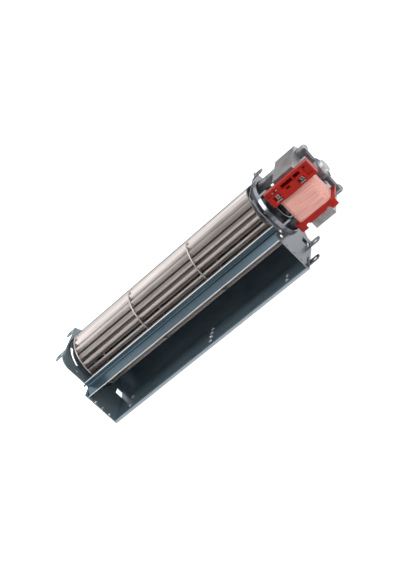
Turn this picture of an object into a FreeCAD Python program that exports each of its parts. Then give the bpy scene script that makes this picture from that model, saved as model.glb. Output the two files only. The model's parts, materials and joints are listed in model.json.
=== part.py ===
import FreeCAD, Part
import math
import os

# Cross flow fan with a shaded-pole motor. All lengths are in millimetres.
# Pieces are drawn about the shaft: X runs along it towards the motor with
# zero at the bearing-side end of the impeller, the outlet faces -Y, Z is up.
# The export moves them so that the origin is under the middle of the fan.

V = FreeCAD.Vector

# Impeller
blade_count = 22
blade_tip_radius = 29.8
blade_root_radius = 23.6
blade_sweep_angle = 12.5
blade_camber = 1.2
blade_sheet = 0.5
blade_rest_angle = -2.0
bay_count = 3
impeller_length = 240.0
disc_radius = 30.5
disc_sheet = 1.2
disc_dish_radius = 17.0
disc_dish_depth = 1.5
ring_bore_radius = 21.4
slot_clearance = 0.05
slot_chords = 3

# Sheet housing
wall_sheet = 0.8
plate_sheet = 1.0
bearing_gap = 8.0
motor_gap = 5.4
scroll_gap = 2.6
scroll_start_angle = 35.0
scroll_end_angle = -20.0
floor_depth = 47.0
base_depth = 50.0
outlet_reach = 52.8
fold_radius = 1.2
wall_crest_flange = 6.0
wall_end_clearance = 0.05
wall_tab_width = 8.0
wall_tab_stand_out = 1.2
wall_tab_floor_y = -36.0
floor_hole_diameter = 2.6
floor_hole_stations = ((0.057, (7.4, 23.3)), (0.5125, (16.0, 23.5)), (0.917, (7.1, 16.3)))

# Tongue plate
tongue_front_z = -11.1
tongue_fold_y = -37.8
tongue_fold_z = -6.2
tongue_lip_z = -1.7
tongue_roll_reach = 3.4
tongue_tip_overhang = 3.4
tongue_ear_depth = 7.0
tongue_ear_back_y = -33.9
tongue_ear_front_y = -47.0
rivet_places = ((-36.1, -10.0), (-43.8, -11.9))
rivet_radius = 1.2
rivet_head_radius = 2.1
rivet_head_height = 1.1

# End plates
plate_front_y = -37.3
plate_top_z = 31.0
plate_notch_z = -5.0
plate_corner_radius = 12.0
plate_duct_top_z = -7.2
plate_duct_step_y = -43.0
plate_wall_margin = 3.0
plate_rear_y = 35.2
plate_tab_y = 31.0
bearing_foot_y = -9.0
motor_foot_y = 5.5
window_inner_radius = 23.9
window_outer_radius = 27.4
window_count = 4
spoke_angle = 38.0
bead_inner_radius = 27.9
bead_outer_radius = 30.4
bead_height = 3.4
bead_wall = 0.5
collar_radius = 16.5
collar_height = 7.6
square_window = 9.0
square_window_y = -7.3
square_window_rise = 7.7
outlet_dot_diameter = 2.0
outlet_dot_inset = 2.5
outlet_dot_rises = (11.2, 20.7, 30.0)
front_hole_diameter = 3.0
front_hole_place = (-31.4, 11.2)
tab_bend_radius = 2.0
tab_corner_radius = 3.5
tab_hole_diameter = 5.0
bearing_top_tabs = (((22.0, 31.0), 10.0), ((-24.5, -14.0), 11.0))
motor_top_tabs = (((15.0, 25.0), 9.5),)
motor_base_tab = ((-6.0, 5.0), 9.5)
motor_front_tab = ((6.8, 17.3), 10.5)
tab_hole_inset = 0.95

# Bearing at the far end of the impeller
stub_radius = 2.5
stub_flange_radius = 8.0
stub_flange_thickness = 1.6
stub_end_room = 0.8
stub_collar_rim = 1.5
stub_collar_length = 1.9
rubber_radius = 13.0
rubber_width = 7.0
cup_radius = 8.0
cup_floor = 1.2
cup_margin = 1.0
bush_radius = 5.0
bush_width = 7.0
running_clearance = 0.04
fit_clearance = 0.05

# Coupling
coupling_radius = 13.0
coupling_groove_radius = 10.0
coupling_width = 9.0
sleeve_radius = 5.0
sleeve_length = 12.0

# Motor
motor_stand_off = 26.6
stack_thickness = 23.0
shaft_radius = 3.0
shaft_end_room = 0.5
shaft_room = 0.6
shaft_press_play = 0.02
rotor_radius = 14.0
air_gap = 0.35
stack_half_height = 29.5
stack_back_y = 26.0
stack_corner_chamfer = 12.0
arm_thickness = 10.0
pole_wall = 3.2
pole_gap = 2.0
leg_width = 11.0
leg_back_y = -26.0
rotor_bar_count = 12
rotor_bar_width = 2.4
rotor_bar_depth = 3.6
cage_ring_width = 3.0
shading_angles = (38.0, 68.0)
shading_bar_depth = 2.6
shading_bar_angle = 9.0
shading_stand_out = 2.0

# Coil
bobbin_wall = 1.2
bobbin_clearance = 0.15
winding_depth = 5.6
winding_length = 26.5
winding_mid_z = -1.0
flange_thickness = 1.8
flange_margin = 1.6
flange_side_margin = 4.2
skirt_depth = 5.8
skirt_length = 11.0
skirt_notch_radius = 2.6
skirt_window_height = 2.5
block_length = 50.0
block_offset = 2.1
block_height = 15.0
block_depth = 7.6
block_stand_out = 0.9
plug_housing = (-2.85, 18.5, 9.6)
plug_housing_stand_out = 1.0
terminal_pockets = ((-16.6, 2.4, 7.6, 5.6), (10.6, 1.9, 7.2, 4.6))
terminal_pocket_depth = 3.4
terminal_side_room = 0.7
terminal_sheet = 0.8
terminal_reach = 1.2
block_recesses = ((-1.65, 9.9, 12.5, 1.5, 3.0), (9.95, 10.0, 6.9, 1.2, 3.0),
                  (19.9, 3.2, 6.0, 9.8, 0.8), (-3.0, 6.0, 4.0, 2.4, 2.0))

# Bearing brackets; the distances count from the stack's faces
bracket_tilt = 10.0
bracket_length = 55.6
bracket_width = 8.0
bar_end_rounding = 0.98
bracket_thickness = 3.6
bracket_stand_off = 4.6
screw_circle_radius = 24.0
foot_length = 9.0
boss_radius = 11.0
boss_start = 4.0
boss_end = 9.2
nose_radius = 6.3
nose_length = 3.4
nose_wall = 1.2
motor_bush_radius = 5.5
motor_bush_width = 7.0
motor_bush_centre = 7.6
clip_sheet = 0.6
clip_radius = 8.0
clip_bore_radius = 5.3
spacer_radius = 4.4
spacer_play = 0.3
screw_radius = 2.0
screw_head_radius = 3.5
screw_head_height = 2.3
screw_bite = 9.0
screw_end_room = 1.0
bracket_screw_bite = 2.0
screw_hole_play = 0.2

# How far a cut runs past the face that it goes through
overcut = 1.0

# Places worked out from the sizes above
bearing_plate_x = -bearing_gap
motor_plate_x = impeller_length + motor_gap
motor_plate_face_x = motor_plate_x + plate_sheet
scroll_radius = disc_radius + scroll_gap + wall_sheet / 2
stack_start_x = motor_plate_face_x + motor_stand_off
stack_end_x = stack_start_x + stack_thickness
motor_mid_x = (stack_start_x + stack_end_x) / 2
outer_bar_x = stack_end_x + bracket_stand_off + bracket_thickness
inner_bar_x = stack_start_x - bracket_stand_off - bracket_thickness
nose_end_x = stack_end_x + boss_end + nose_length
stator_bore_radius = rotor_radius + air_gap
pole_front_y = -(stator_bore_radius + pole_wall)
leg_front_y = leg_back_y - leg_width
bearing_mid_x = bearing_plate_x - plate_sheet / 2


def polar(radius, angle):
    """A point in the YZ plane; the angle is in degrees from +Y towards +Z."""
    return V(0, radius * math.cos(math.radians(angle)), radius * math.sin(math.radians(angle)))


def arc(centre, radius, start, end):
    """An arc edge in the YZ plane about a centre, from one angle to another."""
    points = [centre + polar(radius, a) for a in (start, (start + end) / 2, end)]
    return Part.Arc(*points).toShape()


def face_of(edges):
    return Part.Face(Part.Wire(edges))


def polygon(points):
    corners = [V(0, y, z) for y, z in points]
    return face_of([Part.makeLine(a, b) for a, b in zip(corners, corners[1:] + corners[:1])])


def rounded(points):
    """A face whose corners (y, z, radius) are rounded where the radius is not zero."""
    corners = [V(0, y, z) for y, z, r in points]
    edges = []
    last = None
    first = None
    for index, (y, z, radius) in enumerate(points):
        corner = corners[index]
        before = (corners[index - 1] - corner).normalize()
        after = (corners[(index + 1) % len(corners)] - corner).normalize()
        start = end = corner
        if radius:
            half = before.getAngle(after) / 2
            start = corner + before * (radius / math.tan(half))
            end = corner + after * (radius / math.tan(half))
            middle = (before + after).normalize()
            top = corner + middle * (radius / math.sin(half) - radius)
        if last is not None:
            edges.append(Part.makeLine(last, start))
        else:
            first = start
        if radius:
            edges.append(Part.Arc(start, top, end).toShape())
        last = end
    edges.append(Part.makeLine(last, first))
    return face_of(edges)


def along_x(face, start, end):
    """Pull a face that lies in the YZ plane out along the shaft."""
    solid = face.extrude(V(end - start, 0, 0))
    solid.translate(V(start, 0, 0))
    return solid


def rod(start, end, radius, y=0.0, z=0.0):
    return Part.makeCylinder(radius, end - start, V(start, y, z), V(1, 0, 0))


def tube(start, end, outer, inner):
    return rod(start, end, outer).cut(rod(start, end, inner))


def block(x_range, y_range, z_range):
    low = V(x_range[0], y_range[0], z_range[0])
    size = [b - a for a, b in (x_range, y_range, z_range)]
    return Part.makeBox(size[0], size[1], size[2], low)


def sector(inner, outer, start, end):
    """Part of a flat ring between two angles."""
    middle = V(0, 0, 0)
    inside = arc(middle, inner, start, end)
    outside = arc(middle, outer, start, end)
    sides = [Part.makeLine(polar(inner, a), polar(outer, a)) for a in (start, end)]
    return face_of([inside, sides[1], outside, sides[0]])


def turned(profile):
    """Turn a closed profile of (x, radius) points about the shaft."""
    corners = [V(x, r, 0) for x, r in profile]
    edges = [Part.makeLine(a, b) for a, b in zip(corners, corners[1:] + corners[:1])]
    return face_of(edges).revolve(V(0, 0, 0), V(1, 0, 0), 360)


def fused(first, *others):
    return first.fuse(list(others)).removeSplitter()


def sheet_section(y, z, heading, moves, sheet):
    """The cut face of a folded sheet that starts at a point and goes on by moves.

    A move is ("run", length) or ("bend", middle radius, angle to the left).
    """
    near = []
    far = []
    place = V(0, y, z)
    half = sheet / 2
    for move in moves:
        left = polar(1, heading + 90)
        if move[0] == "run":
            end = place + polar(move[1], heading)
            near.append(Part.makeLine(place + left * half, end + left * half))
            far.append(Part.makeLine(place - left * half, end - left * half))
        else:
            radius, turn = move[1], move[2]
            side = 1 if turn > 0 else -1
            centre = place + left * (side * radius)
            start = heading - 90 * side
            near.append(arc(centre, radius - side * half, start, start + turn))
            far.append(arc(centre, radius + side * half, start, start + turn))
            end = centre + polar(radius, start + turn)
            heading = heading + turn
        place = end
    ends = [Part.makeLine(near[0].firstVertex(True).Point, far[0].firstVertex(True).Point)]
    ends.append(Part.makeLine(near[-1].lastVertex(True).Point, far[-1].lastVertex(True).Point))
    return Part.Face(Part.Wire(Part.__sortEdges__(near + far + ends)))


def blade_line():
    """The centre, radius and end angles of the arc along the middle of a blade's sheet."""
    root = polar(blade_root_radius, blade_sweep_angle / 2)
    tip = polar(blade_tip_radius, -blade_sweep_angle / 2)
    chord = tip - root
    radius = (chord.Length ** 2 / 4 + blade_camber ** 2) / (2 * blade_camber)
    across = V(0, chord.z, -chord.y).normalize()
    centre = (root + tip) / 2 + across * (radius - blade_camber)
    angles = [math.degrees(math.atan2((p - centre).z, (p - centre).y)) for p in (root, tip)]
    if angles[1] - angles[0] > 180:
        angles[0] += 360
    if angles[0] - angles[1] > 180:
        angles[1] += 360
    return centre, radius, angles


def blade_face():
    centre, radius, (root, tip) = blade_line()
    near = radius - blade_sheet / 2
    far = radius + blade_sheet / 2
    sides = [Part.makeLine(centre + polar(near, a), centre + polar(far, a)) for a in (root, tip)]
    return face_of([arc(centre, near, root, tip), sides[1], arc(centre, far, root, tip), sides[0]])


def slot_face():
    """A blade's slot, cut in straight runs that stay clear of the blade's curved sheet."""
    centre, radius, (root, tip) = blade_line()
    half = blade_sheet / 2 + slot_clearance
    over = math.copysign(math.degrees(slot_clearance / (radius - half)), tip - root)
    step = (tip - root + 2 * over) / slot_chords
    angles = [root - over + n * step for n in range(slot_chords + 1)]
    far = (radius + half) / math.cos(math.radians(step / 2))
    corners = [centre + polar(radius - half, a) for a in angles]
    corners += [centre + polar(far, a) for a in reversed(angles)]
    return polygon([(p.y, p.z) for p in corners])


def around(shape, angle):
    """A copy of a shape turned about the shaft."""
    copy = shape.copy()
    copy.rotate(V(0, 0, 0), V(1, 0, 0), angle)
    return copy


def blade_angle(number):
    return number * 360 / blade_count + blade_rest_angle


def blade(number):
    return around(along_x(blade_face(), 0, impeller_length), blade_angle(number))


def blade_slots(start, end):
    slot = along_x(slot_face(), start, end)
    return Part.makeCompound([around(slot, blade_angle(n)) for n in range(blade_count)])


def end_disc(outer_x, inward, hole_radius):
    """A dished end disc with a slot for each blade; inward is +1 or -1 along the shaft."""
    face = outer_x + inward * disc_sheet
    dish = -inward * disc_dish_depth
    slope = disc_dish_radius - abs(dish)
    disc = turned([
        (outer_x, disc_radius), (face, disc_radius), (face, disc_dish_radius),
        (face + dish, slope), (face + dish, hole_radius), (outer_x + dish, hole_radius),
        (outer_x + dish, slope), (outer_x, disc_dish_radius)])
    return disc.cut(blade_slots(min(outer_x, face) - overcut, max(outer_x, face) + overcut))


def middle_ring(number):
    x = impeller_length * number / bay_count
    ring = tube(x - disc_sheet / 2, x + disc_sheet / 2, disc_radius, ring_bore_radius)
    return ring.cut(blade_slots(x - disc_sheet, x + disc_sheet))


def stub_shaft():
    """The steel stub riveted into the bearing-side disc and running in the bush."""
    back = disc_sheet - disc_dish_depth
    end = bearing_mid_x - bush_width / 2 - stub_end_room
    collar = -disc_dish_depth - stub_collar_length
    return turned([
        (end, 0), (end, stub_radius), (collar, stub_radius),
        (collar, stub_radius + stub_collar_rim), (-disc_dish_depth, stub_radius + stub_collar_rim),
        (-disc_dish_depth, stub_radius), (back, stub_radius), (back, stub_flange_radius),
        (back + stub_flange_thickness, stub_flange_radius), (back + stub_flange_thickness, 0)])


def wall_moves():
    """The folds of the rear wall, from the lip at the outlet round to the flange at its top."""
    rise = 90 + scroll_end_angle
    lip = base_depth - floor_depth - fold_radius
    join = polar(scroll_radius, scroll_end_angle)
    sweep = (join.z + floor_depth) / (1 - math.cos(math.radians(rise)))
    tangent_y = join.y - sweep * math.sin(math.radians(rise))
    floor_run = tangent_y - (-outlet_reach + wall_sheet / 2 + fold_radius)
    return [
        ("run", lip), ("bend", fold_radius, -90), ("run", floor_run), ("bend", sweep, rise),
        ("bend", scroll_radius, scroll_start_angle - scroll_end_angle),
        ("bend", fold_radius, -90), ("run", wall_crest_flange - fold_radius)]


def wall_face(extra):
    return sheet_section(-outlet_reach + wall_sheet / 2, -base_depth, 90, wall_moves(),
                         wall_sheet + 2 * extra)


def wall_tabs(start, end, extra):
    """The wall's tabs that pass through the end plates, or their slots."""
    strip = along_x(wall_face(extra), start, end)
    half = wall_tab_width / 2 + extra
    places = ((scroll_radius, 0.0), (wall_tab_floor_y, -floor_depth))
    tabs = []
    for y, z in places:
        window = block((start, end), (y - half, y + half), (z - half, z + half))
        tabs.append(strip.common(window))
    return Part.makeCompound(tabs)


def rear_wall():
    start = bearing_plate_x + wall_end_clearance
    end = motor_plate_x - wall_end_clearance
    tab_end = plate_sheet + wall_tab_stand_out
    wall = along_x(wall_face(0), start, end)
    tabs = wall_tabs(bearing_plate_x - tab_end, motor_plate_x + tab_end, 0)
    wall = fused(wall, tabs)
    for share, depths in floor_hole_stations:
        for depth in depths:
            place = V(share * impeller_length, depth - outlet_reach, -floor_depth - 2 * wall_sheet)
            wall = wall.cut(Part.makeCylinder(floor_hole_diameter / 2, 4 * wall_sheet, place))
    return wall


def tongue_line():
    """The shelf's front point, its heading and its length up to the fold."""
    run = tongue_fold_y + outlet_reach
    rise = tongue_fold_z - tongue_front_z
    return math.degrees(math.atan2(rise, run)), math.hypot(run, rise)


def tongue_plate():
    heading, length = tongue_line()
    turn = 90 - heading
    cut_back = fold_radius * math.tan(math.radians(turn / 2))
    upright = tongue_lip_z - tongue_fold_z - cut_back - fold_radius
    moves = [("run", length - cut_back), ("bend", fold_radius, turn), ("run", upright),
             ("bend", fold_radius, -90), ("run", tongue_roll_reach - fold_radius)]
    start = bearing_plate_x + wall_end_clearance
    end = motor_plate_x - wall_end_clearance
    front_y = -outlet_reach + wall_sheet / 2 * math.sin(math.radians(heading))
    section = sheet_section(front_y, tongue_front_z, heading, moves, wall_sheet)
    plate = along_x(section, start, end)
    tip = block((bearing_plate_x - tongue_tip_overhang, start + 1),
                (tongue_fold_y - wall_sheet / 2, tongue_fold_y + wall_sheet / 2),
                (tongue_lip_z - fold_radius - 1.6, tongue_lip_z - fold_radius))
    slope = math.tan(math.radians(heading))
    under = [(y, tongue_front_z + (y + outlet_reach) * slope)
             for y in (tongue_ear_front_y, tongue_fold_y, tongue_ear_back_y)]
    lower = [(y, z - tongue_ear_depth, 2.0) for y, z in (under[2], under[0])]
    ear = rounded([(y, z, 0) for y, z in under] + lower)
    ears = [along_x(ear, start, start + wall_sheet), along_x(ear, end - wall_sheet, end)]
    plate = fused(plate, tip, *ears)
    for y, z in rivet_places:
        plate = plate.cut(rod(start - overcut, end + overcut, rivet_radius + fit_clearance, y, z))
    return plate


def tongue_rivets():
    """Four rivets through the tongue plate's ears and the end plates, heads outside."""
    rivets = []
    grip = plate_sheet + wall_sheet + wall_end_clearance
    for x, way in ((bearing_plate_x - plate_sheet, 1), (motor_plate_face_x, -1)):
        for y, z in rivet_places:
            inner = way * grip
            profile = [(-way * rivet_head_height, 0), (-way * rivet_head_height, rivet_radius),
                       (0, rivet_head_radius), (0, rivet_radius), (inner, rivet_radius),
                       (inner, rivet_head_radius - 0.3), (inner + way * 0.6, rivet_radius),
                       (inner + way * 0.6, 0)]
            rivet = turned(profile)
            rivet.translate(V(x, y, z))
            rivets.append(rivet)
    return Part.makeCompound(rivets)


def plate_outline(foot_y):
    """The flat outline that both end plates share, apart from how far the foot goes back."""
    rise = 90 + scroll_end_angle
    join = polar(scroll_radius, scroll_end_angle)
    sweep = (join.z + floor_depth) / (1 - math.cos(math.radians(rise)))
    centre = join - polar(sweep, scroll_end_angle)
    sweep_out = sweep + plate_wall_margin
    scroll_out = scroll_radius + plate_wall_margin
    low_angle = -math.degrees(math.acos((foot_y - centre.y) / sweep_out))
    low = centre + polar(sweep_out, low_angle)
    high_angle = math.degrees(math.acos((plate_rear_y - 1.5) / scroll_out))
    high = polar(scroll_out, high_angle)
    slant = plate_rear_y - plate_tab_y
    corners = [high, V(0, plate_rear_y, high.z + 2.5), V(0, plate_rear_y, plate_top_z - 2 * slant),
               V(0, plate_tab_y, plate_top_z - slant / 2), V(0, plate_tab_y, plate_top_z),
               V(0, plate_front_y + plate_corner_radius, plate_top_z)]
    round_centre = V(0, plate_front_y + plate_corner_radius, plate_top_z - plate_corner_radius)
    front = [V(0, plate_front_y, plate_top_z - plate_corner_radius), V(0, plate_front_y, plate_notch_z),
             V(0, plate_front_y - 1.0, plate_duct_top_z), V(0, plate_duct_step_y, plate_duct_top_z),
             V(0, -outlet_reach, plate_duct_top_z), V(0, -outlet_reach, -base_depth),
             V(0, foot_y, -base_depth), low]
    edges = [Part.makeLine(a, b) for a, b in zip(corners, corners[1:])]
    edges.append(arc(round_centre, plate_corner_radius, 90, 180))
    edges += [Part.makeLine(a, b) for a, b in zip(front, front[1:])]
    edges.append(arc(centre, sweep_out, low_angle, scroll_end_angle))
    edges.append(arc(V(0, 0, 0), scroll_out, scroll_end_angle, high_angle))
    return face_of(edges)


def bent_tab(face_x, out, root, span, length, up):
    """A tab bent outwards from a plate's horizontal edge; up is +1 at the top, -1 at the base."""
    middle = (span[0] + span[1]) / 2
    half = (span[1] - span[0]) / 2
    bend = tab_bend_radius
    tip_x = face_x + out * (bend + length)
    flat = block(sorted((face_x + out * bend, tip_x)), (middle - half, middle + half),
                 sorted((root, root - up * plate_sheet)))
    rounding = [e for e in flat.Edges
                if abs(e.BoundBox.XMin - tip_x) < 1e-6 and e.BoundBox.ZLength > 0.5]
    flat = flat.makeFillet(min(tab_corner_radius, half * 0.9), rounding)
    centre = V(face_x + out * bend, 0, root - up * bend)
    turn = [V(centre.x - out * bend, 0, centre.z), V(centre.x, 0, root)]
    inner = bend - plate_sheet
    turn_in = [V(centre.x - out * inner, 0, centre.z), V(centre.x, 0, root - up * plate_sheet)]
    slant = math.sqrt(0.5)
    mid_out = V(centre.x - out * bend * slant, 0, centre.z + up * bend * slant)
    mid_in = V(centre.x - out * inner * slant, 0, centre.z + up * inner * slant)
    section = face_of([Part.Arc(turn[0], mid_out, turn[1]).toShape(),
                       Part.makeLine(turn[1], turn_in[1]),
                       Part.Arc(turn_in[1], mid_in, turn_in[0]).toShape(),
                       Part.makeLine(turn_in[0], turn[0])])
    elbow = section.extrude(V(0, 2 * half, 0))
    elbow.translate(V(0, middle - half, 0))
    tab = fused(flat, elbow)
    hole_x = tip_x - out * tab_hole_diameter * tab_hole_inset
    hole_start = V(hole_x, middle, root - 2 * plate_sheet)
    return tab.cut(Part.makeCylinder(tab_hole_diameter / 2, 4 * plate_sheet, hole_start))


def tab_relief(span, root, up):
    """The strip of the plate that a tab's bend takes the place of."""
    return (span[0], span[1]), sorted((root - up * tab_bend_radius, root + up * 1.0))


def end_plate(inner_x, out, foot_y, tabs):
    """One end plate; out is the way its outer face looks along the shaft."""
    outer_x = inner_x + out * plate_sheet
    plate = along_x(plate_outline(foot_y), inner_x, outer_x)
    bead_mid = (bead_inner_radius + bead_outer_radius) / 2
    crown = (bead_outer_radius - bead_inner_radius) / 4
    top = outer_x + out * bead_height
    raised = turned([(outer_x, bead_inner_radius), (top, bead_mid - crown),
                     (top, bead_mid + crown), (outer_x, bead_outer_radius)])
    hollow = turned([(inner_x, bead_inner_radius + bead_wall), (top - out * plate_sheet, bead_mid),
                     (inner_x, bead_outer_radius - bead_wall)])
    plate = fused(plate, raised).cut(hollow)
    near, far = min(inner_x, outer_x) - overcut, max(inner_x, outer_x) + overcut
    step = 360 / window_count
    for number in range(window_count):
        start = 90 - bracket_tilt + spoke_angle / 2 + number * step
        gap = sector(window_inner_radius, window_outer_radius, start, start + step - spoke_angle)
        plate = plate.cut(along_x(gap, near, far))
    half = square_window / 2
    window_z = square_window_rise - base_depth
    plate = plate.cut(block((near, far), (square_window_y - half, square_window_y + half),
                            (window_z - half, window_z + half)))
    holes = [(outlet_dot_inset - outlet_reach, rise - base_depth, outlet_dot_diameter)
             for rise in outlet_dot_rises]
    holes.append((front_hole_place[0], front_hole_place[1], front_hole_diameter))
    holes += [(y, z, 2 * (rivet_radius + fit_clearance)) for y, z in rivet_places]
    for y, z, diameter in holes:
        plate = plate.cut(rod(near, far, diameter / 2, y, z))
    plate = plate.cut(wall_tabs(near, far, fit_clearance))
    for root, span, length, up in tabs:
        strip_y, strip_z = tab_relief(span, root, up)
        plate = plate.cut(block((near, far), strip_y, strip_z))
        plate = fused(plate, bent_tab(inner_x, out, root, span, length, up))
    return plate


def bearing_end_plate():
    tabs = [(plate_top_z, span, length, 1) for span, length in bearing_top_tabs]
    plate = end_plate(bearing_plate_x, -1, bearing_foot_y, tabs)
    groove = rubber_radius - 2.0 + fit_clearance
    return plate.cut(rod(bearing_plate_x - plate_sheet - overcut, bearing_plate_x + overcut, groove))


def motor_end_plate():
    tabs = [(plate_top_z, span, length, 1) for span, length in motor_top_tabs]
    span, length = motor_front_tab
    front = (span[0] - outlet_reach, span[1] - outlet_reach)
    tabs += [(-base_depth, motor_base_tab[0], motor_base_tab[1], -1), (-base_depth, front, length, -1)]
    plate = end_plate(motor_plate_x, 1, motor_foot_y, tabs)
    bore = collar_radius - plate_sheet
    near, far = motor_plate_x - overcut, motor_plate_face_x + overcut
    plate = plate.cut(rod(near, far, bore))
    plate = fused(plate, tube(motor_plate_x, motor_plate_x + collar_height, collar_radius, bore))
    for y, z in screw_places():
        plate = plate.cut(rod(near, far, screw_radius + screw_hole_play, y, z))
    return plate


def screw_places():
    """The two screw axes of the motor, on a line tilted from upright."""
    lean = math.radians(bracket_tilt)
    return [(side * screw_circle_radius * math.sin(lean), side * screw_circle_radius * math.cos(lean))
            for side in (1, -1)]


def bearing_rubber():
    """The rubber ring that seats in the end plate and holds the bearing cup."""
    half = rubber_width / 2
    groove = rubber_radius - 2.0
    edge = plate_sheet / 2
    x = bearing_mid_x
    return turned([
        (x - half, cup_radius + fit_clearance), (x - half, rubber_radius - 1), (x - edge, rubber_radius),
        (x - edge, groove), (x + edge, groove), (x + edge, rubber_radius),
        (x + half, rubber_radius - 1), (x + half, cup_radius + fit_clearance)])


def bearing_cup():
    """A closed cup that the bush sits in."""
    half = bush_width / 2 + cup_margin
    x = bearing_mid_x
    seat = rod(x - bush_width / 2 - fit_clearance, x + half + overcut, bush_radius + fit_clearance)
    well = rod(x - half, x, stub_radius + stub_collar_rim)
    return rod(x - half - cup_floor, x + half, cup_radius).cut([seat, well])


def bush(x, width, radius, bore):
    return tube(x - width / 2, x + width / 2, radius, bore)


def bearing_bush():
    return bush(bearing_mid_x, bush_width, bush_radius, stub_radius + running_clearance)


def coupling_rubber():
    """The rubber hub that grips the motor-side disc and carries the shaft sleeve."""
    face = impeller_length + disc_dish_depth
    inner = face - disc_sheet
    start = face + 2.0 - coupling_width
    bore = sleeve_radius + fit_clearance
    return turned([
        (start, bore), (start, coupling_radius - 2), (inner - fit_clearance, coupling_radius),
        (inner - fit_clearance, coupling_groove_radius), (face + fit_clearance, coupling_groove_radius),
        (face + fit_clearance, coupling_radius), (face + 2.0, coupling_radius - 1), (face + 2.0, bore)])


def coupling_sleeve():
    end = impeller_length + disc_dish_depth + 2.5
    return tube(end - sleeve_length, end, sleeve_radius, shaft_radius + shaft_press_play)


def motor_shaft():
    start = impeller_length + disc_dish_depth + 2.5 - sleeve_length
    return rod(start, nose_end_x - nose_wall - shaft_end_room, shaft_radius)


def rotor_bars(start, end):
    """The cage bars that lie in the rotor core's slots."""
    bar = block((start, end), (rotor_radius - rotor_bar_depth, rotor_radius + 1),
                (-rotor_bar_width / 2, rotor_bar_width / 2))
    bar = bar.common(rod(start, end, rotor_radius))
    return [around(bar, n * 360 / rotor_bar_count) for n in range(rotor_bar_count)]


def rotor_core():
    core = tube(stack_start_x, stack_end_x, rotor_radius, shaft_radius + shaft_press_play)
    return core.cut(Part.makeCompound(rotor_bars(stack_start_x, stack_end_x)))


def rotor_cage():
    outer = rotor_radius - 0.3
    inner = rotor_radius - rotor_bar_depth - 1.0
    rings = [tube(stack_start_x - cage_ring_width, stack_start_x, outer, inner),
             tube(stack_end_x, stack_end_x + cage_ring_width, outer, inner)]
    return fused(rings[0], rings[1], *rotor_bars(stack_start_x, stack_end_x))


def shaft_spacer(way):
    """The sleeve between the rotor core and a bearing; way is +1 outside, -1 inside."""
    face = stack_end_x if way > 0 else stack_start_x
    near = face + way * shaft_press_play
    far = face + way * (motor_bush_centre - motor_bush_width / 2 - spacer_play)
    return tube(min(near, far), max(near, far), spacer_radius, shaft_radius + shaft_press_play)


def shading_sector(start, end, extra):
    inner = stator_bore_radius + 0.2 - 2 * extra
    outer = stator_bore_radius + shading_bar_depth + extra
    return sector(inner, outer, start - extra * 4, end + extra * 4)


def shading_bars(start, end, extra):
    """The two straight runs of one shading ring, or their notches in the core."""
    half = shading_bar_angle / 2
    return [along_x(shading_sector(a - half, a + half, extra), start, end) for a in shading_angles]


def shading_ring(turn):
    half = shading_bar_angle / 2
    start = stack_start_x - shading_stand_out
    end = stack_end_x + shading_stand_out
    link = shading_sector(shading_angles[0] - half, shading_angles[1] + half, 0)
    ends = [along_x(link, start, stack_start_x), along_x(link, stack_end_x, end)]
    return around(fused(ends[0], ends[1], *shading_bars(stack_start_x, stack_end_x, 0)), turn)


def stator_core():
    """The stack with its two arms, the rotor bore, the pole gap and the shading notches."""
    top = stack_half_height
    cut = stack_corner_chamfer
    arm = top - arm_thickness
    outline = [(leg_back_y, -top), (stack_back_y - cut, -top), (stack_back_y, cut - top),
               (stack_back_y, top - cut), (stack_back_y - cut, top), (leg_back_y, top),
               (leg_back_y, arm), (pole_front_y, arm), (pole_front_y, -arm), (leg_back_y, -arm)]
    core = along_x(polygon(outline), stack_start_x, stack_end_x)
    near, far = stack_start_x - overcut, stack_end_x + overcut
    core = core.cut(rod(near, far, stator_bore_radius))
    core = core.cut(block((near, far), (pole_front_y - overcut, 0), (-pole_gap / 2, pole_gap / 2)))
    notches = shading_bars(near, far, fit_clearance)
    core = core.cut(notches + [around(n, 180) for n in notches])
    for y, z in screw_places():
        core = core.cut(rod(near, far, screw_radius + fit_clearance, y, z))
    return core


def coil_core():
    return block((stack_start_x, stack_end_x), (leg_front_y, leg_back_y),
                 (-stack_half_height, stack_half_height))


def coil_shell(extra, z_range):
    """A block that stands off the coil core by the same distance on all four sides."""
    return block((stack_start_x - extra, stack_end_x + extra),
                 (leg_front_y - extra, leg_back_y + extra), z_range)


def winding_range():
    return winding_mid_z - winding_length / 2, winding_mid_z + winding_length / 2


def coil_winding():
    low, high = winding_range()
    inner = bobbin_clearance + bobbin_wall
    coil = coil_shell(inner + winding_depth, (low + fit_clearance, high - fit_clearance))
    corners = [e for e in coil.Edges if e.BoundBox.ZLength > 1]
    coil = coil.makeFillet(winding_depth, corners)
    return coil.cut(coil_shell(inner, (low - overcut, high + overcut)))


def block_range():
    """The terminal block's extent along the shaft, in depth and in height."""
    front = leg_front_y - bobbin_clearance - bobbin_wall - winding_depth - flange_margin - block_stand_out
    high = winding_range()[1]
    middle = block_mid_x()
    half = block_length / 2
    return (middle - half, middle + half), (front, front + block_depth), (high, high + block_height)


def block_mid_x():
    return motor_mid_x + block_offset


def block_recess(offset, rise, width, height, depth):
    """A pocket in the terminal block's front; offset and rise count from the block's lower middle."""
    front = block_range()[1][0] - plug_housing_stand_out
    low = block_range()[2][0] + rise
    left = block_mid_x() + offset - width / 2
    return block((left, left + width), (front - overcut, front + plug_housing_stand_out + depth),
                 (low, low + height))


def terminal_block():
    x_range, y_range, z_range = block_range()
    offset, width, height = plug_housing
    left = block_mid_x() + offset - width / 2
    housing = block((left, left + width), (y_range[0] - plug_housing_stand_out, y_range[1]),
                    (z_range[0], z_range[0] + height))
    solid = fused(block(x_range, y_range, z_range), housing)
    pockets = [block_recess(*recess) for recess in block_recesses]
    pockets += [block_recess(*pocket, terminal_pocket_depth) for pocket in terminal_pockets]
    return solid.cut(pockets)


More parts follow.
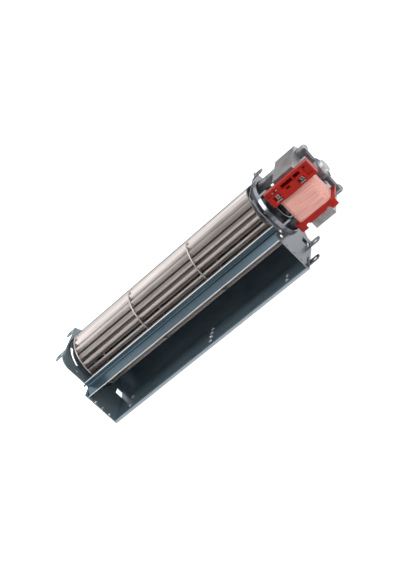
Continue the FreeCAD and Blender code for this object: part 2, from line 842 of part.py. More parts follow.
def coil_bobbin():
    low, high = winding_range()
    reach = bobbin_clearance + bobbin_wall + winding_depth
    half = stack_thickness / 2 + reach + flange_side_margin
    front = leg_front_y - reach - flange_margin
    back = leg_back_y + reach
    across = (motor_mid_x - half, motor_mid_x + half)
    bobbin = coil_shell(bobbin_clearance + bobbin_wall, (low - flange_thickness, high + flange_thickness))
    flanges = [block(across, (front, back), (low - flange_thickness, low)),
               block(across, (front, back), (high, high + flange_thickness))]
    skirt_low = low - flange_thickness - skirt_depth
    skirt = block(across, (front, front + flange_thickness), (skirt_low, low))
    inner = (across[0] + skirt_length, across[1] - skirt_length)
    skirt = skirt.cut(block(inner, (front - overcut, front + flange_thickness + overcut),
                            (skirt_low - overcut, skirt_low + skirt_window_height)))
    for x in inner:
        notch = Part.makeCylinder(skirt_notch_radius, flange_thickness + 2 * overcut,
                                  V(x, front - overcut, skirt_low + skirt_window_height / 2), V(0, 1, 0))
        skirt = skirt.cut(notch)
    bobbin = fused(bobbin, flanges[0], flanges[1], skirt, terminal_block())
    return bobbin.cut(coil_shell(bobbin_clearance, (skirt_low, high + block_height)))


def coil_terminals():
    """Spade tags that stand in the terminal block's two pockets."""
    y_range, z_range = block_range()[1:]
    back = y_range[0] + terminal_pocket_depth
    tags = []
    for offset, rise, width, height in terminal_pockets:
        half = width / 2 - terminal_side_room
        middle = block_mid_x() + offset
        span = (middle - half, middle + half)
        base = z_range[0] + rise
        upright = block(span, (back - terminal_sheet, back), (base, base + height - terminal_side_room))
        foot = block(span, (y_range[0] - terminal_reach, back), (base, base + terminal_sheet))
        tags.append(fused(upright, foot))
    return Part.makeCompound(tags)


def bearing_bracket(way):
    """A cast bar with a boss, feet on the stack and a bush seat; way is +1 outside, -1 inside."""
    face = stack_end_x if way > 0 else stack_start_x

    def at(distance):
        return face + way * distance

    def span(start, end):
        return sorted((at(start), at(end)))

    half = bracket_length / 2
    side = bracket_width / 2
    round_end = side * bar_end_rounding
    bar_outline = rounded([(-side, -half, round_end), (side, -half, round_end),
                           (side, half, round_end), (-side, half, round_end)])
    bar = along_x(bar_outline, *span(bracket_stand_off, bracket_stand_off + bracket_thickness))
    feet_end = bracket_stand_off if way > 0 else stack_start_x - motor_plate_face_x
    feet = along_x(bar_outline, *span(0, feet_end))
    middle = half - foot_length
    feet = feet.cut(block(span(-overcut, feet_end + overcut), (-side - overcut, side + overcut),
                          (-middle, middle)))
    bar = around(bar.fuse(feet), -bracket_tilt)
    boss = rod(*span(boss_start, boss_end), boss_radius)
    nose = rod(*span(boss_end, boss_end + nose_length), nose_radius)
    bracket = fused(bar, boss, nose)
    seat_end = motor_bush_centre + motor_bush_width / 2 + fit_clearance
    seat = rod(*span(boss_start - overcut, seat_end), motor_bush_radius + fit_clearance)
    through = boss_end + nose_length + (overcut if way < 0 else -nose_wall)
    bracket = bracket.cut([seat, rod(*span(0, through), shaft_radius + shaft_room)])
    hole = screw_radius + fit_clearance
    for y, z in screw_places():
        if way > 0:
            depth = bracket_stand_off + bracket_thickness + overcut
        else:
            depth = bracket_stand_off + bracket_thickness + bracket_screw_bite + fit_clearance
            foot_start = motor_plate_face_x - overcut
            bracket = bracket.cut(rod(foot_start, motor_plate_face_x + screw_bite, hole, y, z))
        bracket = bracket.cut(rod(*span(-overcut, depth), hole, y, z))
    return bracket


def motor_bush(way):
    face = stack_end_x if way > 0 else stack_start_x
    return bush(face + way * motor_bush_centre, motor_bush_width, motor_bush_radius,
                shaft_radius + running_clearance)


def bearing_clip(way):
    """The spring ring that holds the bush in its seat, flat on the boss's face."""
    face = stack_end_x if way > 0 else stack_start_x
    ends = sorted((face + way * boss_start, face + way * (boss_start - clip_sheet)))
    return tube(ends[0], ends[1], clip_radius, clip_bore_radius)


def pan_screw(head_x, way, length, place):
    """A screw whose head sits at head_x; way is the direction of its shank."""
    head = head_x - way * screw_head_height
    end = head_x + way * length
    screw = turned([(head, 0), (head, screw_head_radius), (head_x, screw_head_radius),
                    (head_x, screw_radius), (end, screw_radius), (end, 0)])
    screw.translate(V(0, place[0], place[1]))
    return screw


def bracket_screw(place):
    return pan_screw(outer_bar_x, -1, outer_bar_x - inner_bar_x + bracket_screw_bite, place)


def motor_screw(place):
    return pan_screw(motor_plate_x, 1, plate_sheet + screw_bite - screw_end_room, place)


def all_pieces():
    pieces = {}
    for number in range(blade_count):
        pieces["blade_%02d" % (number + 1)] = blade(number)
    for number in range(1, bay_count):
        pieces["middle_ring_%d" % number] = middle_ring(number)
    pieces["bearing_side_disc"] = end_disc(0, 1, stub_radius + fit_clearance)
    pieces["motor_side_disc"] = end_disc(impeller_length, -1, coupling_groove_radius + fit_clearance)
    pieces["stub_shaft"] = stub_shaft()
    pieces["coupling_rubber"] = coupling_rubber()
    pieces["coupling_sleeve"] = coupling_sleeve()
    pieces["motor_shaft"] = motor_shaft()
    pieces["rotor_core"] = rotor_core()
    pieces["rotor_cage"] = rotor_cage()
    pieces["rear_wall"] = rear_wall()
    pieces["tongue_plate"] = tongue_plate()
    pieces["bearing_end_plate"] = bearing_end_plate()
    pieces["motor_end_plate"] = motor_end_plate()
    pieces["tongue_rivets"] = tongue_rivets()
    pieces["bearing_rubber"] = bearing_rubber()
    pieces["bearing_cup"] = bearing_cup()
    pieces["bearing_bush"] = bearing_bush()
    pieces["stator_core"] = stator_core()
    pieces["coil_core"] = coil_core()
    pieces["shading_ring_top"] = shading_ring(0)
    pieces["shading_ring_bottom"] = shading_ring(180)
    pieces["coil_bobbin"] = coil_bobbin()
    pieces["coil_winding"] = coil_winding()
    pieces["coil_terminals"] = coil_terminals()
    for side, way in (("outer", 1), ("inner", -1)):
        pieces[side + "_bracket"] = bearing_bracket(way)
        pieces[side + "_motor_bush"] = motor_bush(way)
        pieces[side + "_bearing_clip"] = bearing_clip(way)
        pieces[side + "_shaft_spacer"] = shaft_spacer(way)
    for name, place in zip(("top", "bottom"), screw_places()):
        pieces["bracket_screw_" + name] = bracket_screw(place)
        pieces["motor_screw_" + name] = motor_screw(place)
    return pieces


def export():
    """Write every piece, moved so that the origin is under the middle of the fan."""
    os.makedirs("parts", exist_ok=True)
    low_x = bearing_plate_x - tab_bend_radius - max(length for span, length in bearing_top_tabs)
    high_x = max(nose_end_x, block_range()[0][1])
    high_y = scroll_radius + plate_wall_margin
    shift = V(-(low_x + high_x) / 2, (outlet_reach - high_y) / 2, base_depth)
    for name, shape in all_pieces().items():
        moved = shape.copy()
        moved.translate(shift)
        moved.exportStep("parts/%s.step" % name)


export()
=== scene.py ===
"""Cross flow fan: finishes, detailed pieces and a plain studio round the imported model."""

import json
import math

import bmesh
import bpy
from mathutils import Euler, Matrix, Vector


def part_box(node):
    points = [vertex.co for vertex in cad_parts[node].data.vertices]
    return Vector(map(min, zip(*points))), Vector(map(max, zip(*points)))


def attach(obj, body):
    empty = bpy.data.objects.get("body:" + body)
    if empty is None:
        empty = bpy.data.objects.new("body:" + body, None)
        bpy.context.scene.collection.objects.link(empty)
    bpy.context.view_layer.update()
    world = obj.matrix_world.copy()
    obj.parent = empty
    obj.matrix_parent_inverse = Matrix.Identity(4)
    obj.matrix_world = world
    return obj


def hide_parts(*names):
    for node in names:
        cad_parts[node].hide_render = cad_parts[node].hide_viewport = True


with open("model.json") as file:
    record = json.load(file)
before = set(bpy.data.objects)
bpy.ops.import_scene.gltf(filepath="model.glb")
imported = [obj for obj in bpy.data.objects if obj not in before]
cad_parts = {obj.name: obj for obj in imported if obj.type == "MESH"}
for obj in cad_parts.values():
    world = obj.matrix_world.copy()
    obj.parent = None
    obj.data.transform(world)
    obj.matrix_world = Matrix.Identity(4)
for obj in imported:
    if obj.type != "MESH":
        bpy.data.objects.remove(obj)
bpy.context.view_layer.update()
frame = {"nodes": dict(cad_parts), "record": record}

bl_info = {
    "name": "Cross flow fan",
    "version": (1, 0, 0),
    "blender": (4, 5, 0),
    "location": "View3D > Sidebar > Fan",
    "description": "Dresses the packed model of a cross flow fan",
    "category": "Object",
}

MM = 0.001


def shaft_line():
    """The height and depth of the shaft's middle, in metres."""
    low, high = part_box("motor_shaft")
    return (low.y + high.y) / 2, (low.z + high.z) / 2


SHAFT_Y, SHAFT_Z = shaft_line()


# Sizes and colours

def colour(name, text, value):
    return bpy.props.FloatVectorProperty(
        name=name, description=text, default=value, subtype="COLOR", size=3, min=0.0, max=1.0)


def length(name, text, value):
    return bpy.props.FloatProperty(
        name=name, description=text, default=value, unit="LENGTH", subtype="DISTANCE", min=0.0)


class FanColours(bpy.types.PropertyGroup):
    blade: colour("Blades", "Rolled metal of the blades, rings and discs", (0.52, 0.475, 0.455))
    sheet: colour("Sheet", "Galvanised sheet of the duct and the tongue", (0.112, 0.172, 0.215))
    # Partly uncoated cut metal, partly a painted highlight: the pale strip along the front and top edges of
    # the sheet.
    bare: colour("Cut edges and highlight", "Cut and folded edges of the sheet, where the zinc is bright",
                 (0.62, 0.64, 0.66))
    # Painted light: the motor's end plate is a paler, lit copy of the same galvanised sheet as the duct.
    plate: colour("End plates", "Galvanised sheet of the two end plates", (0.222, 0.234, 0.257))
    stack: colour("Stack", "Edges and faces of the laminated steel", (0.235, 0.23, 0.24))
    casting: colour("Castings", "Cast zinc of the bearing brackets", (0.23, 0.24, 0.255))
    # Painted highlight: the machined faces of the castings about the shaft are made much paler than their
    # skin.
    turned: colour("Machined faces and highlight", "Machined faces of the castings about the shaft", (0.88, 0.90, 0.92))
    bobbin: colour("Bobbin", "Red moulded plastic", (0.36, 0.011, 0.005))
    winding: colour("Winding", "Wrapped copper wire of the coil", (0.82, 0.44, 0.385))


class FanStage(bpy.types.PropertyGroup):
    camera_place: bpy.props.FloatVectorProperty(
        name="Camera place", description="Where the camera stands", default=(0.41884, -0.94207, 0.30911),
        subtype="TRANSLATION", unit="LENGTH", size=3)
    camera_turn: bpy.props.FloatVectorProperty(
        name="Camera turn", description="How the camera is turned",
        default=tuple(math.radians(a) for a in (69.45286, 44.36246, 9.49944)), subtype="EULER", size=3)
    camera_lens: bpy.props.FloatProperty(
        name="Lens", description="Focal length on a 36 mm wide sensor", default=70.517, unit="CAMERA")
    floor_size: length("Floor", "Side of the square floor", 6.0)
    flag_gap: length("Flag", "How far in front of the fan's middle the dark cloth starts", 0.16)
    tent_radius: length("Tent", "Radius of the light tent that the metal mirrors", 2.0)
    surround: bpy.props.FloatProperty(
        name="Surround", description="Level of the soft light from all round", default=0.32, min=0.0)
    key_power: bpy.props.FloatProperty(
        name="Key", description="Power of the large lamp overhead", default=6.4, unit="POWER", min=0.0)
    front_power: bpy.props.FloatProperty(
        name="Front", description="Power of the lamp that fills the front", default=1.4, unit="POWER",
        min=0.0)
    side_power: bpy.props.FloatProperty(
        name="Side", description="Power of the lamp beside the motor", default=4.0, unit="POWER", min=0.0)
    back_power: bpy.props.FloatProperty(
        name="Back light", description="Power of the lamp that grazes the impeller from behind", default=2.3,
        unit="POWER", min=0.0)
    soft_box: bpy.props.FloatProperty(
        name="Soft box", description="Strength of the panel that the bead mirrors", default=9.0, min=0.0)
    floor_glow: bpy.props.FloatProperty(
        name="Floor glow", description="What the paper adds where the camera sees it", default=0.74, min=0.0)


class FanSizes(bpy.types.PropertyGroup):
    wire: length("Wire", "Pitch of the winding's turns", 0.55 * MM)
    screw_slot: length("Screw slot", "Width of the cross in a screw's head", 0.8 * MM)
    lamination: length("Lamination", "Thickness of one sheet of the stack", 0.5 * MM)
    lamination_step: length("Lamination step", "How far every second sheet stands back", 0.1 * MM)


# Mesh helpers

def clear_selection():
    if bpy.context.object and bpy.context.object.mode != "OBJECT":
        bpy.ops.object.mode_set(mode="OBJECT")
    bpy.ops.object.select_all(action="DESELECT")


def only(piece):
    clear_selection()
    piece.select_set(True)
    bpy.context.view_layer.objects.active = piece


def edit(piece):
    only(piece)
    bpy.ops.object.mode_set(mode="EDIT")
    bpy.ops.mesh.select_all(action="DESELECT")
    return bmesh.from_edit_mesh(piece.data)


def done(piece):
    bpy.ops.object.mode_set(mode="OBJECT")
    return piece


def joined(pieces):
    """Join pieces into the first of them."""
    only(pieces[0])
    for piece in pieces[1:]:
        piece.select_set(True)
    bpy.ops.object.join()
    return pieces[0]


def settle(piece, name, smooth=30.0):
    """Put a piece's place into its mesh, name it and smooth its gentle edges."""
    only(piece)
    bpy.ops.object.transform_apply(location=True, rotation=True, scale=True)
    bpy.ops.object.shade_smooth_by_angle(angle=math.radians(smooth))
    piece.name = name
    piece.data.name = name
    return piece


def dress(piece, material, body):
    """Give a piece its finish and the body that it rides."""
    piece.data.materials.clear()
    piece.data.materials.append(bpy.data.materials[finish_name(material)])
    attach(piece, body)


def apply_modifiers(piece):
    only(piece)
    for modifier in list(piece.modifiers):
        bpy.ops.object.modifier_apply(modifier=modifier.name)


def cut_with(piece, cutter):
    """Cut one mesh from another and remove the cutter."""
    modifier = piece.modifiers.new("Cut", "BOOLEAN")
    modifier.operation = "DIFFERENCE"
    modifier.object = cutter
    apply_modifiers(piece)
    bpy.data.objects.remove(cutter)


def solid_copy(node):
    """A merged copy of a CAD node's mesh with its flat faces joined up."""
    clear_selection()
    source = frame["nodes"][node]
    piece = bpy.data.objects.new(node + "_copy", source.data.copy())
    bpy.context.scene.collection.objects.link(piece)
    edit(piece)
    bpy.ops.mesh.select_all(action="SELECT")
    bpy.ops.mesh.remove_doubles(threshold=0.002 * MM)
    bpy.ops.mesh.dissolve_limited(angle_limit=math.radians(0.6))
    return done(piece)


def break_edges(piece, width, segments=2, angle=38.0):
    """Round every sharp edge of a piece a little."""
    modifier = piece.modifiers.new("Edges", "BEVEL")
    modifier.width = width
    modifier.segments = segments
    modifier.limit_method = "ANGLE"
    modifier.angle_limit = math.radians(angle)
    apply_modifiers(piece)


def block(centre, size, turn=0.0):
    """A block of a size, turned about the direction of the shaft."""
    clear_selection()
    bpy.ops.mesh.primitive_cube_add(size=1.0, location=centre, rotation=(turn, 0.0, 0.0))
    piece = bpy.context.object
    piece.scale = size
    only(piece)
    bpy.ops.object.transform_apply(location=False, rotation=False, scale=True)
    return piece


def box_cutter(low, high):
    return block((Vector(low) + Vector(high)) / 2, Vector(high) - Vector(low))


# Pieces with their own copy of their slot's metal: the two end plates paler as painted light, the tongue and
# the motor-side disc darker as painted shade, and the tongue and the motor's end plate smoother
OWN_FINISHES = {"bearing_end_plate": "lit_end_sheet", "motor_end_plate": "lit_plate_sheet",
                "tongue_plate": "shaded_tongue_sheet", "motor_side_disc": "shaded_disc"}


def finish_of(node):
    """The slot and the finish of a CAD node."""
    slot = next(part["material_slot"] for part in frame["record"]["subparts"] if part["node"] == node)
    return slot, OWN_FINISHES.get(node, slot)


def stand_in(piece, node, body, smooth=30.0):
    """Finish a detailed piece and let it take a CAD node's place."""
    slot, material = finish_of(node)
    settle(piece, node + "_detailed", smooth)
    flat = piece.modifiers.new("Normals", "WEIGHTED_NORMAL")
    flat.keep_sharp = True
    apply_modifiers(piece)
    dress(piece, material, body)
    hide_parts(node)


# Finishes

def group_with(name, inputs, outputs):
    """A node group that takes a Vector and named numbers, and puts out named masks."""
    group = bpy.data.node_groups.new(name, "ShaderNodeTree")
    group.interface.new_socket(name="Vector", in_out="INPUT", socket_type="NodeSocketVector")
    for label, value in inputs.items():
        socket = group.interface.new_socket(name=label, in_out="INPUT", socket_type="NodeSocketFloat")
        socket.default_value = value
    for label in outputs:
        group.interface.new_socket(name=label, in_out="OUTPUT", socket_type="NodeSocketFloat")
    start = group.nodes.new("NodeGroupInput")
    end = group.nodes.new("NodeGroupOutput")
    return group, start, end


def feed(tree, socket, value):
    """Link an input to a socket, or set it to a number."""
    if hasattr(value, "is_linked"):
        tree.links.new(value, socket)
    else:
        socket.default_value = value


def maths(tree, kind, *values):
    """A maths node; each value is a socket or a number."""
    node = tree.nodes.new("ShaderNodeMath")
    node.operation = kind
    for socket, value in zip(node.inputs, values):
        feed(tree, socket, value)
    return node.outputs[0]


def clamped(tree, value, high=1.0):
    return maths(tree, "MINIMUM", maths(tree, "MAXIMUM", value, 0.0), high)


def stretched(tree, vector, scale):
    node = tree.nodes.new("ShaderNodeMapping")
    node.inputs["Scale"].default_value = scale
    tree.links.new(vector, node.inputs["Vector"])
    return node.outputs[0]


def noise(tree, vector, scale, detail=3.0, roughness=0.5):
    node = tree.nodes.new("ShaderNodeTexNoise")
    node.inputs["Detail"].default_value = detail
    node.inputs["Roughness"].default_value = roughness
    tree.links.new(vector, node.inputs["Vector"])
    feed(tree, node.inputs["Scale"], scale)
    return node.outputs["Fac"]


def make_grain_group():
    """Fine lines along the shaft, as rolling or winding leaves them."""
    group, start, end = group_with("Drawn Grain", {"Scale": 900.0}, ("Lines", "Patches"))
    vector = stretched(group, start.outputs["Vector"], (0.02, 1.0, 1.0))
    group.links.new(noise(group, vector, start.outputs["Scale"], 4.0, 0.6), end.inputs["Lines"])
    group.links.new(noise(group, start.outputs["Vector"], 60.0, 3.0), end.inputs["Patches"])


def make_spangle_group():
    """The crystal patches of a zinc coat and the soft marks of handling."""
    group, start, end = group_with("Zinc Spangle", {"Scale": 260.0}, ("Crystals", "Marks"))
    cells = group.nodes.new("ShaderNodeTexVoronoi")
    group.links.new(start.outputs["Vector"], cells.inputs["Vector"])
    group.links.new(start.outputs["Scale"], cells.inputs["Scale"])
    tone = group.nodes.new("ShaderNodeRGBToBW")
    group.links.new(cells.outputs["Color"], tone.inputs["Color"])
    group.links.new(tone.outputs["Val"], end.inputs["Crystals"])
    marks = noise(group, stretched(group, start.outputs["Vector"], (0.35, 1.0, 1.0)), 45.0, 5.0, 0.6)
    group.links.new(marks, end.inputs["Marks"])


def make_edge_group():
    """One beyond a height or a depth, for the pale edges of a coated sheet: partly uncoated cut metal,
    partly a painted highlight.
    """
    group, start, end = group_with("Cut Edge Highlight", {"Front": -1.0, "Top": 1.0, "Blend": 0.0003}, ("Mask",))
    axes = group.nodes.new("ShaderNodeSeparateXYZ")
    group.links.new(start.outputs["Vector"], axes.inputs[0])
    ahead = maths(group, "SUBTRACT", start.outputs["Front"], axes.outputs["Y"])
    above = maths(group, "SUBTRACT", axes.outputs["Z"], start.outputs["Top"])
    share = maths(group, "DIVIDE", maths(group, "MAXIMUM", ahead, above), start.outputs["Blend"])
    group.links.new(clamped(group, share), end.inputs["Mask"])


# The soft edge of a machined face with its painted highlight, and how fast the wave of its rings runs, per
# metre of radius
MACHINED_HIGHLIGHT_BLEND = 0.3 * MM
TURNED_WAVE = 4200.0


def make_machined_highlight_group():
    """One inside a radius about the shaft, with the fine rings that a lathe leaves there."""
    group, start, end = group_with("Machined Face Highlight", {"Radius": 0.01}, ("Mask", "Rings"))
    axes = group.nodes.new("ShaderNodeSeparateXYZ")
    group.links.new(start.outputs["Vector"], axes.inputs[0])
    across = maths(group, "POWER", maths(group, "SUBTRACT", axes.outputs["Y"], SHAFT_Y), 2.0)
    upward = maths(group, "POWER", maths(group, "SUBTRACT", axes.outputs["Z"], SHAFT_Z), 2.0)
    radius = maths(group, "SQRT", maths(group, "ADD", across, upward))
    room = maths(group, "SUBTRACT", start.outputs["Radius"], radius)
    group.links.new(clamped(group, maths(group, "DIVIDE", room, MACHINED_HIGHLIGHT_BLEND)), end.inputs["Mask"])
    wave = maths(group, "SINE", maths(group, "MULTIPLY", radius, TURNED_WAVE))
    group.links.new(maths(group, "MULTIPLY_ADD", wave, 0.5, 0.5), end.inputs["Rings"])


def make_casting_group():
    """The pitted skin of a casting or of sintered metal."""
    group, start, end = group_with("Cast Skin", {"Scale": 700.0}, ("Pits", "Stain"))
    pits = noise(group, start.outputs["Vector"], start.outputs["Scale"], 6.0, 0.7)
    group.links.new(pits, end.inputs["Pits"])
    group.links.new(noise(group, start.outputs["Vector"], 110.0, 3.0), end.inputs["Stain"])


def finish_name(slot):
    """A finish's name, which must differ from those that the frame brings along."""
    return "Finish " + slot.replace("_", " ")


class Finish:
    """One material being built; glance is how much of the light its metal mirrors at a flat angle."""

    def __init__(self, name, metallic=0.0, roughness=0.5, glance=1.0):
        self.material = bpy.data.materials.new(finish_name(name))
        self.material.use_nodes = True
        self.tree = self.material.node_tree
        self.shader = self.tree.nodes["Principled BSDF"]
        self.shader.inputs["Metallic"].default_value = metallic
        self.shader.inputs["Roughness"].default_value = roughness
        self.shader.inputs["Specular Tint"].default_value = (glance, glance, glance, 1.0)
        self.place = self.tree.nodes.new("ShaderNodeTexCoord").outputs["Object"]

    def group(self, name, scale=None):
        node = self.tree.nodes.new("ShaderNodeGroup")
        node.node_tree = bpy.data.node_groups[name]
        self.tree.links.new(self.place, node.inputs["Vector"])
        if scale is not None:
            node.inputs["Scale"].default_value = scale
        return node.outputs

    def tones(self, mask, dark, light, low=0.3, high=0.7):
        """Colour the surface between two tones by a mask."""
        ramp = self.tree.nodes.new("ShaderNodeValToRGB")
        ramp.color_ramp.elements[0].position = low
        ramp.color_ramp.elements[0].color = (*dark, 1.0)
        ramp.color_ramp.elements[1].position = high
        ramp.color_ramp.elements[1].color = (*light, 1.0)
        self.tree.links.new(mask, ramp.inputs["Fac"])
        self.tree.links.new(ramp.outputs["Color"], self.shader.inputs["Base Color"])
        return ramp.outputs["Color"]

    def cut_edge_highlight(self, coat, tone, front=-1.0, top=1.0):
        """Paint a pale strip along a front or top edge over the coat: partly uncoated cut metal, partly a
        painted highlight.
        """
        mask = self.group("Cut Edge Highlight")["Mask"]
        mask.node.inputs["Front"].default_value = front
        mask.node.inputs["Top"].default_value = top
        mix = self.tree.nodes.new("ShaderNodeMixRGB")
        mix.inputs["Color2"].default_value = (*tone, 1.0)
        self.tree.links.new(mask, mix.inputs["Fac"])
        self.tree.links.new(coat, mix.inputs["Color1"])
        self.tree.links.new(mix.outputs["Color"], self.shader.inputs["Base Color"])

    def machined_face_highlight(self, coat, tone, radius):
        """A machined face about the shaft with its lathe rings, painted much paler than the skin of the
        casting round it as a painted highlight.
        """
        face = self.group("Machined Face Highlight")
        face["Mask"].node.inputs["Radius"].default_value = radius
        rings = self.tree.nodes.new("ShaderNodeMixRGB")
        rings.inputs["Color1"].default_value = (*shade(tone, 0.4), 1.0)
        rings.inputs["Color2"].default_value = (*tone, 1.0)
        self.tree.links.new(face["Rings"], rings.inputs["Fac"])
        mix = self.tree.nodes.new("ShaderNodeMixRGB")
        self.tree.links.new(face["Mask"], mix.inputs["Fac"])
        self.tree.links.new(coat, mix.inputs["Color1"])
        self.tree.links.new(rings.outputs["Color"], mix.inputs["Color2"])
        self.tree.links.new(mix.outputs["Color"], self.shader.inputs["Base Color"])

    def gloss(self, mask, low, high):
        spread = self.tree.nodes.new("ShaderNodeMapRange")
        spread.inputs["To Min"].default_value = low
        spread.inputs["To Max"].default_value = high
        self.tree.links.new(mask, spread.inputs["Value"])
        self.tree.links.new(spread.outputs["Result"], self.shader.inputs["Roughness"])

    def relief(self, height, strength, depth):
        bump = self.tree.nodes.new("ShaderNodeBump")
        bump.inputs["Strength"].default_value = strength
        bump.inputs["Distance"].default_value = depth
        self.tree.links.new(height, bump.inputs["Height"])
        self.tree.links.new(bump.outputs["Normal"], self.shader.inputs["Normal"])


def shade(tone, amount):
    return tuple(min(1.0, max(0.0, channel * amount)) for channel in tone)


def drawn_metal(name, tone, roughness, scale=900.0, spread=0.16):
    """Rolled or drawn bright metal with fine lines along the shaft."""
    finish = Finish(name, metallic=1.0, roughness=roughness)
    grain = finish.group("Drawn Grain", scale)
    finish.tones(grain["Lines"], shade(tone, 1.0 - spread), shade(tone, 1.0 + spread))
    finish.gloss(grain["Patches"], roughness * 0.75, roughness * 1.3)
    finish.relief(grain["Lines"], 0.1, 0.02 * MM)


def coated_sheet(name, tone, metallic, low, high, bare=None, glance=1.0, **edge):
    """Zinc coated sheet, as rough as between low and high, with a pale strip along its edges if given:
    partly uncoated cut metal, partly a painted highlight.
    """
    finish = Finish(name, metallic=metallic, glance=glance)
    finish.shader.inputs["Specular IOR Level"].default_value = 0.3
    spangle = finish.group("Zinc Spangle")
    mix = maths(finish.tree, "MULTIPLY_ADD", spangle["Crystals"], 0.35, spangle["Marks"])
    coat = finish.tones(mix, shade(tone, 0.9), shade(tone, 1.1), 0.35, 0.95)
    if bare:
        finish.cut_edge_highlight(coat, bare, **edge)
    finish.gloss(spangle["Marks"], low, high)
    finish.relief(spangle["Marks"], 0.05, 0.05 * MM)


def laminated_steel(name, tone):
    """Punched sheets stacked along the shaft, with a dark line at each joint."""
    finish = Finish(name, metallic=0.75, roughness=0.45)
    lines = finish.tree.nodes.new("ShaderNodeTexWave")
    lines.wave_type = "BANDS"
    lines.bands_direction = "X"
    lines.inputs["Scale"].default_value = 320.0
    lines.inputs["Distortion"].default_value = 0.4
    lines.inputs["Detail"].default_value = 2.0
    finish.tree.links.new(finish.place, lines.inputs["Vector"])
    skin = finish.group("Cast Skin", 500.0)
    mix = maths(finish.tree, "MULTIPLY_ADD", lines.outputs["Fac"], 0.5, skin["Stain"])
    finish.tones(mix, (0.105, 0.09, 0.08), shade(tone, 1.4), 0.45, 0.9)
    finish.gloss(skin["Stain"], 0.3, 0.5)
    finish.relief(lines.outputs["Fac"], 0.5, 0.06 * MM)


def cast_metal(name, tone, metallic=0.95, roughness=0.34, pits=0.35, scale=700.0, turned=None, glance=1.0):
    """Cast, plated or sintered metal; turned is the tone and the radius of a machined face, whose paler tone
    is a painted highlight.
    """
    finish = Finish(name, metallic=metallic, roughness=roughness, glance=glance)
    skin = finish.group("Cast Skin", scale)
    coat = finish.tones(skin["Stain"], shade(tone, 0.62), shade(tone, 1.25), 0.35, 0.65)
    if turned:
        finish.machined_face_highlight(coat, *turned)
    finish.gloss(skin["Pits"], roughness * 0.7, roughness * 1.3)
    finish.relief(skin["Pits"], pits, 0.12 * MM)


def moulded(name, tone, roughness, pits=0.12, scale=1500.0, spread=0.12):
    """Moulded plastic or rubber with a fine skin."""
    finish = Finish(name, roughness=roughness)
    finish.shader.inputs["Specular IOR Level"].default_value = 0.2
    skin = finish.group("Cast Skin", scale)
    finish.tones(skin["Stain"], shade(tone, 1.0 - spread), shade(tone, 1.0 + spread), 0.35, 0.68)
    finish.gloss(skin["Stain"], roughness * 0.85, roughness * 1.2)
    finish.relief(skin["Pits"], pits, 0.05 * MM)


def wound_wire(name, tone):
    """Enamelled wire under a thin wrap."""
    finish = Finish(name, metallic=0.1, roughness=0.5)
    grain = finish.group("Drawn Grain", 1400.0)
    finish.tones(grain["Lines"], shade(tone, 0.6), shade(tone, 1.12), 0.3, 0.6)
    finish.gloss(grain["Patches"], 0.4, 0.62)
    finish.relief(grain["Lines"], 0.4, 0.08 * MM)


# The thickness of the tongue's sheet, the pale strip along a front edge, which is partly uncoated metal and
# partly a painted highlight, and the radius of a boss's machined face, made paler as a painted highlight
TONGUE_SHEET = 0.8 * MM
EDGE_HIGHLIGHT_STRIP = 0.5 * MM
MACHINED_HIGHLIGHT_RADIUS = 7.6 * MM


class FAN_OT_finishes(bpy.types.Operator):
    """Make every finish and give it to the pieces that the frame carries over"""
    bl_idname = "fan.finishes"
    bl_label = "Finishes"

    def execute(self, context):
        tones = context.scene.fan_colours
        make_grain_group()
        make_spangle_group()
        make_edge_group()
        make_machined_highlight_group()
        make_casting_group()
        drawn_metal("blade_metal", tones.blade, 0.32)
        low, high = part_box("tongue_plate")
        front = low.y + EDGE_HIGHLIGHT_STRIP
        # The duct's front hem gets a pale strip, partly uncoated metal, partly a painted highlight.
        coated_sheet("galvanised_sheet", tones.sheet, 0.45, 0.3, 0.4, (0.35, 0.40, 0.44), front=front)
        # Painted shade: the tongue is a darker copy of the duct's sheet; its front and top edges get the
        # pale strip of uncoated metal and painted highlight.
        coated_sheet("shaded_tongue_sheet", shade(tones.sheet, 0.82), 0.95, 0.16, 0.24,
                     shade(tones.bare, 0.85), front=front, top=high.z - TONGUE_SHEET)
        # Painted light: the motor's end plate is a paler copy of the same galvanised sheet.
        coated_sheet("lit_plate_sheet", tones.plate, 0.9, 0.16, 0.27, glance=0.75)
        # Painted light: the bearing end plate is a paler copy of the same galvanised sheet.
        coated_sheet("lit_end_sheet", (0.19, 0.248, 0.282), 0.42, 0.26, 0.38)
        # Painted shade: the motor-side disc is the blades' metal darkened to three tenths.
        drawn_metal("shaded_disc", shade(tones.blade, 0.3), 0.35)
        laminated_steel("stack_steel", tones.stack)
        drawn_metal("shaft_steel", (0.55, 0.55, 0.56), 0.25)
        drawn_metal("spring_steel", (0.42, 0.42, 0.43), 0.3)
        cast_metal("screw_steel", (0.30, 0.31, 0.32), 1.0, 0.3, 0.1)
        cast_metal("rivet_metal", (0.55, 0.57, 0.60), 1.0, 0.32, 0.1)
        cast_metal("cage_aluminium", (0.52, 0.53, 0.54), 1.0, 0.4)
        # Painted highlight: the machined face about the shaft is made much paler than the cast skin.
        cast_metal("zinc_casting", tones.casting, turned=(tones.turned, MACHINED_HIGHLIGHT_RADIUS), glance=0.35)
        cast_metal("sintered_bronze", (0.36, 0.22, 0.09), 1.0, 0.4, 0.3, 2500.0)
        drawn_metal("ring_copper", (0.62, 0.28, 0.15), 0.3)
        drawn_metal("tinned_brass", (0.38, 0.37, 0.35), 0.28)
        wound_wire("coil_wrap", tones.winding)
        moulded("red_plastic", tones.bobbin, 0.34)
        moulded("black_plastic", (0.02, 0.02, 0.022), 0.4)
        moulded("black_rubber", (0.016, 0.016, 0.016), 0.7, 0.3)
        for part in frame["record"]["subparts"]:
            node = frame["nodes"][part["node"]]
            node.data.materials.clear()
            node.data.materials.append(bpy.data.materials[finish_name(finish_of(part["node"])[1])])
        return {"FINISHED"}


# Pieces

